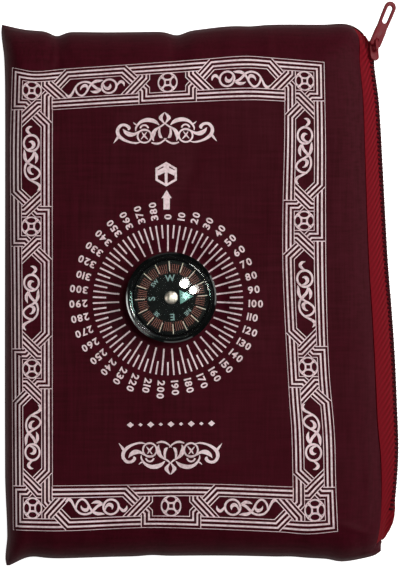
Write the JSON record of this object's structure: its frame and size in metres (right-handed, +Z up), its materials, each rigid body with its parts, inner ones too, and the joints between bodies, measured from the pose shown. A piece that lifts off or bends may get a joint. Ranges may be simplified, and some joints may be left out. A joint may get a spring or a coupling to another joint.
{
  "type": "folded pocket prayer mat in a zipped pouch with a compass",
  "caption": "Thin prayer mat folded away in a flat zipped cloth pouch, with a button compass and a printed dial on its face.",
  "frame": {"origin": "under the middle of the plan, on the surface that the pouch lies on", "axes": "+Z up out of the printed face, +Y to the head of the print, +X to the zip side"},
  "size_m": [0.1166, 0.1651, 0.0241],
  "materials": {
    "pouch_cloth": "coated polyester taffeta, soft sheen",
    "zip_tape": "ribbed woven tape",
    "zip_chain": "nylon coil teeth",
    "zip_paint": "red baked paint",
    "case_black": "polished moulding",
    "lens_clear": "clear acrylic",
    "pivot_metal": "bright turned metal",
    "card_face": "printed dial",
    "print_ink": "screen print"
  },
  "bodies": {
    "pouch_body": {"pouch": "pouch_cloth", "zip_tape_front": "zip_tape", "zip_tape_back": "zip_tape", "zip_chain": "zip_chain", "zip_slider": "zip_paint", "zip_puller": "zip_paint", "compass_case": "case_black", "compass_lens": "lens_clear", "compass_pivot": "pivot_metal"},
    "card_body": {"compass_card": "card_face", "card_cap": "pivot_metal"}
  },
  "joints": [
    {"name": "card_spin", "type": "hinge", "parent": "pouch_body", "child": "card_body", "pos_m": [-0.0082, -0.0041, 0.0199], "axis": [0, 0, 1], "continuous": true}
  ]
}
